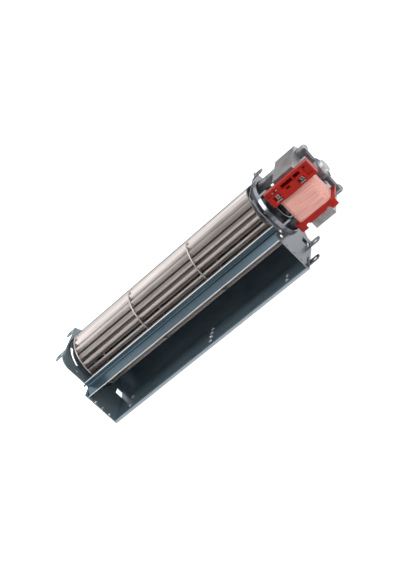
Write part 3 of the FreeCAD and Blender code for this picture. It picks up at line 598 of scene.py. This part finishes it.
SCREW_HEAD = 2.3 * MM
SCREW_DOME = 1.3 * MM
SCREW_RADIUS = 2.0 * MM
# The cross in a screw's head: its turn, its depth in heads and its length in radii
CROSS_TURN = 0.35
CROSS_DEPTH = 0.65
CROSS_LENGTH = 1.15


def pan_screw(context, name, way):
    """A pan head screw with a cross in its head, in the place of a plain one; way is its shank's."""
    low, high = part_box(name)
    y, z = (low.y + high.y) / 2, (low.z + high.z) / 2
    radius = (high.z - low.z) / 2
    outer = high.x if way < 0 else low.x
    clear_selection()
    bpy.ops.mesh.primitive_cylinder_add(
        vertices=48, radius=radius, depth=SCREW_HEAD, location=(outer + way * SCREW_HEAD / 2, y, z),
        rotation=(0.0, -way * math.pi / 2, 0.0))
    piece = bpy.context.object
    mesh = edit(piece)
    for edge in mesh.edges:
        edge.select = all(corner.co.z > 0 for corner in edge.verts)
    bmesh.update_edit_mesh(piece.data)
    bpy.ops.mesh.bevel(offset=SCREW_DOME, segments=6, affect="EDGES", clamp_overlap=True)
    done(piece)
    slot = context.scene.fan_sizes.screw_slot
    for turn in (CROSS_TURN, CROSS_TURN + math.pi / 2):
        cross = (2 * CROSS_DEPTH * SCREW_HEAD, slot, CROSS_LENGTH * radius)
        cut_with(piece, block((outer, y, z), cross, turn))
    clear_selection()
    shank = (high.x - low.x) - SCREW_HEAD
    bpy.ops.mesh.primitive_cylinder_add(
        vertices=32, radius=SCREW_RADIUS, depth=shank, rotation=(0.0, math.pi / 2, 0.0),
        location=(outer + way * (SCREW_HEAD + shank / 2), y, z))
    piece = joined([piece, bpy.context.object])
    settle(piece, name + "_detailed")
    dress(piece, "screw_steel", "housing")
    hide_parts(name)


class FAN_OT_screws(bpy.types.Operator):
    """Model the four screws of the motor with domed heads"""
    bl_idname = "fan.screws"
    bl_label = "Screws"

    def execute(self, context):
        for name in ("bracket_screw_top", "bracket_screw_bottom"):
            pan_screw(context, name, -1)
        for name in ("motor_screw_top", "motor_screw_bottom"):
            pan_screw(context, name, 1)
        return {"FINISHED"}


# Pieces whose edges are rounded, with the width of the rounding in mm
BROKEN_EDGES = {
    "housing": (("rear_wall", 0.2), ("tongue_plate", 0.2), ("bearing_end_plate", 0.25),
                ("motor_end_plate", 0.25), ("tongue_rivets", 0.45), ("coil_core", 0.4),
                ("inner_bracket", 0.7), ("outer_bracket", 0.7), ("bearing_rubber", 0.8),
                ("bearing_cup", 0.4)),
    "impeller": (("coupling_rubber", 0.8), ("coupling_sleeve", 0.4))}


# Pressed rims round the holes in the duct's floor: share of the impeller's length, then the places
# behind the outlet in mm
FLOOR_RIMS = ((0.057, (7.4, 23.3)), (0.5125, (8.2, 16.0, 23.5, 31.0)), (0.917, (7.1, 16.3)))
# The same in the end plate: behind the outlet, then over the base, in mm
PLATE_RIMS = (2.5, (11.2, 20.7, 30.0))
PLATE_RIM_SHARE = 0.8
RIM_RADIUS = 1.65
RIM_HEIGHT = 0.55
FLOOR_TOP = 3.4


def outlet_rims():
    """Rings that stand up round the holes of the duct's floor and of the end plate beside it."""
    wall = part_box("rear_wall")[0]
    start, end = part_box("bearing_side_disc")[0].x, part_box("motor_side_disc")[1].x
    plate_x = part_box("bearing_end_plate")[1].x
    places = [((start + share * (end - start), wall.y + depth * MM, wall.z + FLOOR_TOP * MM),
               (0.0, 0.0, 0.0), RIM_RADIUS) for share, depths in FLOOR_RIMS for depth in depths]
    places += [((plate_x, wall.y + PLATE_RIMS[0] * MM, wall.z + rise * MM),
                (0.0, math.pi / 2, 0.0), PLATE_RIM_SHARE * RIM_RADIUS) for rise in PLATE_RIMS[1]]
    rims = []
    for place, turn, radius in places:
        clear_selection()
        bpy.ops.mesh.primitive_torus_add(
            location=place, rotation=turn, major_radius=radius * MM, minor_radius=RIM_HEIGHT * MM,
            major_segments=32, minor_segments=10)
        rims.append(bpy.context.object)
    piece = settle(joined(rims), "outlet_rims")
    # Painted highlight: the pressed rims take the pale rivet metal rather than the duct's dark sheet.
    dress(piece, "rivet_metal", "housing")


class FAN_OT_edges(bpy.types.Operator):
    """Round the edges of the sheets, castings, rivets and rubber pieces"""
    bl_idname = "fan.edges"
    bl_label = "Edges"

    def execute(self, context):
        for body, pieces in BROKEN_EDGES.items():
            for node, width in pieces:
                piece = solid_copy(node)
                break_edges(piece, width * MM)
                stand_in(piece, node, body)
        outlet_rims()
        return {"FINISHED"}


class FAN_OT_stack(bpy.types.Operator):
    """Build the stator's stack from punched sheets, every second one a little smaller"""
    bl_idname = "fan.stack"
    bl_label = "Stack"

    def execute(self, context):
        sizes = context.scene.fan_sizes
        low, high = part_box("stator_core")
        pairs = round((high.x - low.x) / (2 * sizes.lamination))
        pitch = (high.x - low.x) / (2 * pairs)
        sheets = []
        for index, share in enumerate((1.0, 1.0 - 2 * sizes.lamination_step / (high.z - low.z))):
            piece = solid_copy("stator_core")
            edit(piece)
            bpy.ops.mesh.select_all(action="SELECT")
            bpy.ops.transform.resize(
                value=(pitch / (high.x - low.x), share, share), center_override=(low.x, SHAFT_Y, SHAFT_Z))
            bpy.ops.transform.translate(value=(index * pitch, 0.0, 0.0))
            done(piece)
            copies = piece.modifiers.new("Sheets", "ARRAY")
            copies.count = pairs
            copies.use_relative_offset = False
            copies.use_constant_offset = True
            copies.constant_offset_displace = (2 * pitch, 0.0, 0.0)
            apply_modifiers(piece)
            sheets.append(piece)
        stand_in(joined(sheets), "stator_core", "housing")
        return {"FINISHED"}


# Pockets in the terminal block: offset from its middle, rise, width, height and depth in mm
BLOCK_POCKETS = ((-1.6, 9.2, 12.9, 3.5, 6.5), (9.95, 9.2, 7.5, 3.4, 6.5), (19.9, 3.2, 6.0, 9.8, 1.9),
                 (-18.6, 9.6, 10.8, 4.0, 1.6), (18.4, 10.4, 1.6, 1.6, 4.0))
# Pockets with a terminal tag: offset, rise, width and height in mm
TAG_POCKETS = ((-16.6, 2.4, 7.6, 5.6), (10.6, 1.9, 7.2, 4.6))
# A tag in mm: its width, its shoulders over the pocket's lower edge, its hole's radius and rise over
# the pocket's middle, and the rounding of its edges
TAG_WIDTH = 3.6
TAG_SHOULDER = 1.3
TAG_HOLE = 0.9
TAG_HOLE_RISE = 0.5
TAG_EDGE = 0.12
# The terminal block's width and height, and how far its face stands back from the bobbin's front
BLOCK_SIZE = (50.0, 15.0)
BLOCK_BACK = 1.0
FLANGE_CORNER = 5.0
FLANGE_WIDTH = 45.3
FLANGE_FRONT = 1.9
BOBBIN_EDGE = 0.3
# The two wire posts: places along the block, rise over its lower edge, radius, length, how far their
# middles stand behind its face, and the rounding of their ends
POST_OFFSETS = (-17.1, -12.9)
POST_RISE = 11.8
POST_RADIUS = 0.75
POST_LENGTH = 4.4
POST_DEPTH = 1.4
POST_EDGE = 0.5
# How far a cutter reaches past a corner
CUT_PAST = 2.0


def corner_cutter(end, front, low, high, side):
    """What a rounded front corner of a flange loses; side is the corner's way along the shaft."""
    radius = FLANGE_CORNER * MM
    past = CUT_PAST * MM
    inner = end - side * radius
    near, far = sorted((inner, end + side * past))
    cutter = box_cutter((near, front - past, low - past / 2), (far, front + radius, high))
    clear_selection()
    bpy.ops.mesh.primitive_cylinder_add(
        vertices=64, radius=radius, depth=high - low + 2 * past,
        location=(inner, front + radius, (low + high) / 2))
    cut_with(cutter, bpy.context.object)
    return cutter


class FAN_OT_coil(bpy.types.Operator):
    """Cut the terminal block's slots and pockets, round the bobbin and shape its tags"""
    bl_idname = "fan.coil"
    bl_label = "Bobbin and terminals"

    def execute(self, context):
        low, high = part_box("coil_bobbin")
        middle = high.x - BLOCK_SIZE[0] / 2 * MM
        base = high.z - BLOCK_SIZE[1] * MM
        front = low.y + BLOCK_BACK * MM
        bobbin = solid_copy("coil_bobbin")
        for offset, rise, width, height, depth in BLOCK_POCKETS:
            cut_with(bobbin, box_cutter(
                (middle + (offset - width / 2) * MM, front - 3.0 * MM, base + rise * MM),
                (middle + (offset + width / 2) * MM, front + depth * MM, base + (rise + height) * MM)))
        stack_low, stack_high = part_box("coil_core")
        centre = (stack_low.x + stack_high.x) / 2
        for side in (-1, 1):
            end = centre + side * FLANGE_WIDTH / 2 * MM
            cut_with(bobbin, corner_cutter(end, low.y + FLANGE_FRONT * MM, low.z, base, side))
        break_edges(bobbin, BOBBIN_EDGE * MM)
        stand_in(bobbin, "coil_bobbin", "housing")

        low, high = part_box("coil_terminals")
        tags = solid_copy("coil_terminals")
        for offset, rise, width, height in TAG_POCKETS:
            for side in (-1, 1):
                near, far = sorted(middle + (offset + side * reach) * MM for reach in (TAG_WIDTH / 2, width))
                cut_with(tags, box_cutter((near, low.y - MM, base + (rise + TAG_SHOULDER) * MM),
                                          (far, high.y + MM, base + (rise + height + 1.0) * MM)))
            clear_selection()
            bpy.ops.mesh.primitive_cylinder_add(
                vertices=24, radius=TAG_HOLE * MM, depth=4.0 * MM, rotation=(math.pi / 2, 0.0, 0.0),
                location=(middle + offset * MM, high.y, base + (rise + height / 2 + TAG_HOLE_RISE) * MM))
            cut_with(tags, bpy.context.object)
        break_edges(tags, TAG_EDGE * MM)
        metal = [tags]
        for offset in POST_OFFSETS:
            clear_selection()
            bpy.ops.mesh.primitive_cylinder_add(
                vertices=24, radius=POST_RADIUS * MM, depth=POST_LENGTH * MM,
                rotation=(math.pi / 2, 0.0, 0.0),
                location=(middle + offset * MM, front + POST_DEPTH * MM, base + POST_RISE * MM))
            post = bpy.context.object
            break_edges(post, POST_EDGE * MM, 4)
            metal.append(post)
        stand_in(joined(metal), "coil_terminals", "housing")
        return {"FINISHED"}


# The winding's depth round the bobbin, which is the radius of its corners too, and each turn's dip
WINDING_DEPTH = 5.6 * MM
TURN_DIP = 0.16 * MM
# Each step round a turn: its share of the pitch, and whether it goes out of the dip (1) or into it (-1)
TURN_STEPS = ((0.18, 1), (0.32, 0), (0.32, 0), (0.18, -1))


class FAN_OT_winding(bpy.types.Operator):
    """Wind the coil turn by turn round the bobbin"""
    bl_idname = "fan.winding"
    bl_label = "Winding"

    def execute(self, context):
        low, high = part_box("coil_winding")
        centre = (low + high) / 2
        size = high - low
        pitch = context.scene.fan_sizes.wire
        turns = round(size.z / pitch)
        pitch = size.z / turns
        clear_selection()
        bpy.ops.mesh.primitive_plane_add(size=1.0, location=(centre.x, centre.y, low.z))
        piece = bpy.context.object
        piece.scale = (size.x, size.y, 1.0)
        only(piece)
        bpy.ops.object.transform_apply(location=False, rotation=False, scale=True)
        edit(piece)
        bpy.ops.mesh.select_all(action="SELECT")
        bpy.ops.mesh.bevel(offset=WINDING_DEPTH, segments=8, affect="VERTICES")
        bpy.ops.mesh.delete(type="ONLY_FACE")
        bpy.ops.mesh.select_all(action="SELECT")
        dipped = (1 - 2 * TURN_DIP / size.x, 1 - 2 * TURN_DIP / size.y, 1.0)
        bpy.ops.transform.resize(value=dipped)
        for rise, way in TURN_STEPS:
            bpy.ops.mesh.extrude_region_move(TRANSFORM_OT_translate={"value": (0.0, 0.0, rise * pitch)})
            if way > 0:
                bpy.ops.transform.resize(value=(1 / dipped[0], 1 / dipped[1], 1.0))
            if way < 0:
                bpy.ops.transform.resize(value=dipped)
        done(piece)
        copies = piece.modifiers.new("Turns", "ARRAY")
        copies.count = turns
        copies.use_relative_offset = False
        copies.use_constant_offset = True
        copies.constant_offset_displace = (0.0, 0.0, pitch)
        copies.use_merge_vertices = True
        copies.merge_threshold = 0.01 * MM
        apply_modifiers(piece)
        edit(piece)
        bpy.ops.mesh.select_all(action="SELECT")
        bpy.ops.mesh.remove_doubles(threshold=0.005 * MM)
        bpy.ops.mesh.select_all(action="DESELECT")
        bpy.ops.mesh.select_non_manifold()
        bpy.ops.mesh.edge_face_add()
        bpy.ops.mesh.select_all(action="DESELECT")
        bpy.ops.mesh.select_non_manifold()
        bpy.ops.mesh.fill_holes(sides=0)
        bpy.ops.mesh.select_all(action="SELECT")
        bpy.ops.mesh.normals_make_consistent(inside=False)
        done(piece)
        cut_with(piece, block(centre, (size.x - 2 * WINDING_DEPTH, size.y - 2 * WINDING_DEPTH, 2 * size.z)))
        settle(piece, "wound_turns", 50.0)
        dress(piece, "coil_wrap", "housing")
        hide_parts("coil_winding")
        return {"FINISHED"}


# Stage

def area_lamp(name, place, aim, size, power, tint, mirrored=False):
    """A rectangular lamp that is aimed at a place; metal shows its shape only where it is mirrored."""
    clear_selection()
    bpy.ops.object.light_add(type="AREA", location=place)
    lamp = bpy.context.object
    lamp.name = name
    lamp.data.shape = "RECTANGLE"
    lamp.data.size, lamp.data.size_y = size
    lamp.data.energy = power
    lamp.data.color = tint
    lamp.rotation_euler = (Vector(aim) - Vector(place)).to_track_quat("-Z", "Y").to_euler()
    lamp.visible_glossy = mirrored


def cover(piece, name, values):
    """Give a piece of the stage a material; values are those of its shader's sockets."""
    material = bpy.data.materials.new(name)
    material.use_nodes = True
    piece.data.materials.append(material)
    shader = material.node_tree.nodes["Principled BSDF"]
    for socket, value in values.items():
        shader.inputs[socket].default_value = value
    return material.node_tree, shader


def metal_only(piece):
    """Keep a piece of the stage out of everything but reflections."""
    piece.visible_camera = piece.visible_diffuse = piece.visible_shadow = piece.visible_transmission = False


def seen_rays(tree):
    """One for what the camera sees straight, in metal or through glass, and nothing for the light."""
    rays = tree.nodes.new("ShaderNodeLightPath")
    seen = maths(tree, "MAXIMUM", rays.outputs["Is Camera Ray"], rays.outputs["Is Glossy Ray"])
    return maths(tree, "MAXIMUM", seen, rays.outputs["Is Transmission Ray"])


BLACK = (0.0, 0.0, 0.0, 1.0)
WARM_WHITE = (1.0, 0.99, 0.975)
# Where the second dark cloth starts in front of the fan's middle, and the first one's depth
FAR_FLAG = 0.5
FLAG_DEPTH = 0.1
# Place on the tent's arc, from the front floor over the top to the back one, and the colour there
TENT = ((0.0, (0.25, 0.25, 0.24)), (0.12, (0.32, 0.32, 0.30)), (0.22, (0.22, 0.21, 0.19)),
        (0.33, (0.06, 0.045, 0.04)), (0.385, (0.30, 0.27, 0.26)), (0.43, (1.90, 1.92, 1.94)),
        (0.55, (1.76, 1.78, 1.80)), (0.65, (1.85, 1.85, 1.87)), (0.70, (0.90, 0.89, 0.89)),
        (0.745, (0.42, 0.42, 0.42)), (0.85, (0.85, 0.84, 0.83)), (1.0, (0.9, 0.9, 0.9)))
TENT_LEVEL = 2.0
# Beyond this place towards the bearing end the bands run aslant and the cloth gets brighter, up to a reach
TENT_EDGE = 0.65
TENT_SLANT = 0.34
TENT_RISE = 1.3
TENT_REACH = 0.7


def light_tent(radius, span):
    """A round tent over the fan, which only its metal sees: darker in front, bright behind."""
    clear_selection()
    bpy.ops.mesh.primitive_cylinder_add(
        vertices=64, radius=radius, depth=span, end_fill_type="NOTHING", rotation=(0.0, math.pi / 2, 0.0))
    tent = bpy.context.object
    tent.name = "light_tent"
    bpy.ops.object.transform_apply(location=False, rotation=True, scale=False)
    tree, shader = cover(tent, "tent_cloth", {"Base Color": BLACK, "Specular IOR Level": 0.0})
    place = tree.nodes.new("ShaderNodeSeparateXYZ")
    tree.links.new(tree.nodes.new("ShaderNodeTexCoord").outputs["Object"], place.inputs[0])
    front = maths(tree, "MULTIPLY", place.outputs["Y"], -1.0)
    share = maths(tree, "DIVIDE", maths(tree, "ARCTAN2", place.outputs["Z"], front), math.pi)
    aside = maths(tree, "SUBTRACT", maths(tree, "MULTIPLY", place.outputs["X"], -1.0), TENT_EDGE)
    slant = maths(tree, "MULTIPLY", maths(tree, "MAXIMUM", aside, -0.1), TENT_SLANT)
    share = maths(tree, "ADD", share, slant)
    ramp = tree.nodes.new("ShaderNodeValToRGB")
    ramp.color_ramp.interpolation = "B_SPLINE"
    while len(ramp.color_ramp.elements) < len(TENT):
        ramp.color_ramp.elements.new(0.5)
    for stop, (place_on_arc, tone) in zip(ramp.color_ramp.elements, TENT):
        stop.position = place_on_arc
        stop.color = (*shade(tone, 1 / TENT_LEVEL), 1.0)
    tree.links.new(share, ramp.inputs["Fac"])
    tree.links.new(ramp.outputs["Color"], shader.inputs["Emission Color"])
    rise = maths(tree, "MULTIPLY_ADD", clamped(tree, aside, TENT_REACH), TENT_RISE, TENT_LEVEL)
    tree.links.new(rise, shader.inputs["Emission Strength"])
    metal_only(tent)


def soft_box(place, size, strength):
    """A bright panel, turned to the fan, that the bead of the motor's end plate mirrors."""
    clear_selection()
    bpy.ops.mesh.primitive_plane_add(
        size=1.0, location=place, rotation=Vector(place).to_track_quat("Z", "Y").to_euler())
    panel = bpy.context.object
    panel.name = "soft_box"
    panel.scale = (*size, 1.0)
    cover(panel, "silk", {"Base Color": BLACK, "Emission Color": (0.97, 0.99, 1.0, 1.0),
                          "Emission Strength": strength})
    metal_only(panel)


def front_flag(start, end, width):
    """A dark cloth on the floor, so that what is turned to the front doesn't mirror white paper."""
    clear_selection()
    bpy.ops.mesh.primitive_plane_add(size=1.0, location=(0.0, -(start + end) / 2, 0.5 * MM))
    flag = bpy.context.object
    flag.name = "front_flag"
    only(flag)
    bpy.ops.transform.resize(value=(width, end - start, 1.0))
    cover(flag, "dark_cloth", {"Base Color": (0.05, 0.05, 0.055, 1.0), "Roughness": 1.0})
    metal_only(flag)


class FAN_OT_stage(bpy.types.Operator):
    """Set up the floor, the soft surround, the lamps and the camera"""
    bl_idname = "fan.stage"
    bl_label = "Stage"

    def execute(self, context):
        stage = context.scene.fan_stage
        clear_selection()
        bpy.ops.mesh.primitive_plane_add(size=stage.floor_size, location=(0.0, 0.0, 0.0))
        floor = bpy.context.object
        floor.name = "floor"
        tree, shader = cover(floor, "floor_paper", {
            "Base Color": (0.9, 0.9, 0.9, 1.0), "Roughness": 0.9, "Specular IOR Level": 0.0,
            "Emission Color": (1.0, 1.0, 1.0, 1.0)})
        glow = maths(tree, "MULTIPLY", seen_rays(tree), stage.floor_glow)
        tree.links.new(glow, shader.inputs["Emission Strength"])

        world = bpy.data.worlds.new("surround")
        context.scene.world = world
        world.use_nodes = True
        nodes, links = world.node_tree.nodes, world.node_tree.links
        background = nodes["Background"]
        background.inputs["Color"].default_value = (1.0, 1.0, 1.0, 1.0)
        level = nodes.new("ShaderNodeMapRange")
        level.inputs["To Min"].default_value = stage.surround
        level.inputs["To Max"].default_value = 1.0
        links.new(seen_rays(world.node_tree), level.inputs["Value"])
        links.new(level.outputs["Result"], background.inputs["Strength"])

        area_lamp("front_lamp", (0.25, -1.15, 0.72), (0.0, 0.0, 0.04), (0.7, 0.5), stage.front_power,
                  WARM_WHITE)
        area_lamp("key_lamp", (0.15, -0.75, 1.2), (0.0, 0.0, 0.04), (0.7, 0.5), stage.key_power,
                  WARM_WHITE)
        area_lamp("side_lamp", (0.95, -0.34, 0.36), (0.12, 0.0, 0.05), (0.25, 0.45), stage.side_power,
                  (1.0, 1.0, 1.0), mirrored=True)
        area_lamp("back_lamp", (-0.48, 0.62, 0.75), (-0.05, 0.0, 0.06), (1.2, 0.4), stage.back_power,
                  (1.0, 0.96, 0.955))

        light_tent(stage.tent_radius, stage.floor_size)
        soft_box((0.12, -1.1, 1.5), (0.2, 1.4), stage.soft_box)
        front_flag(stage.flag_gap, stage.flag_gap + FLAG_DEPTH, stage.floor_size / 2)
        front_flag(FAR_FLAG, stage.tent_radius, stage.floor_size / 2)

        lens = bpy.data.cameras.new("camera")
        camera = bpy.data.objects.new("camera", lens)
        context.scene.collection.objects.link(camera)
        camera.location = stage.camera_place
        camera.rotation_euler = Euler(stage.camera_turn)
        lens.sensor_width = 36.0
        lens.lens = stage.camera_lens
        lens.clip_start = 0.01
        lens.clip_end = 20.0
        context.scene.camera = camera
        context.scene.view_settings.view_transform = "Standard"
        return {"FINISHED"}


class FAN_PT_parts(bpy.types.Panel):
    """The fan's pieces, in the order in which they are made"""
    bl_idname = "FAN_PT_parts"
    bl_label = "Cross flow fan"
    bl_space_type = "VIEW_3D"
    bl_region_type = "UI"
    bl_category = "Fan"

    def draw(self, context):
        for step in STEPS:
            self.layout.operator(step.bl_idname)


STEPS = (FAN_OT_finishes, FAN_OT_edges, FAN_OT_stack, FAN_OT_coil, FAN_OT_screws, FAN_OT_winding,
         FAN_OT_stage)
GROUPS = (("fan_colours", FanColours), ("fan_stage", FanStage), ("fan_sizes", FanSizes))
CLASSES = (FanColours, FanStage, FanSizes) + STEPS + (FAN_PT_parts,)


def register():
    for entry in CLASSES:
        bpy.utils.register_class(entry)
    for name, group in GROUPS:
        setattr(bpy.types.Scene, name, bpy.props.PointerProperty(type=group))


def unregister():
    for name, group in GROUPS:
        delattr(bpy.types.Scene, name)
    for entry in reversed(CLASSES):
        bpy.utils.unregister_class(entry)


def main():
    register()
    bpy.ops.fan.finishes()
    bpy.ops.fan.edges()
    bpy.ops.fan.stack()
    bpy.ops.fan.coil()
    bpy.ops.fan.screws()
    bpy.ops.fan.winding()
    bpy.ops.fan.stage()


if __name__ == "__main__":
    main()
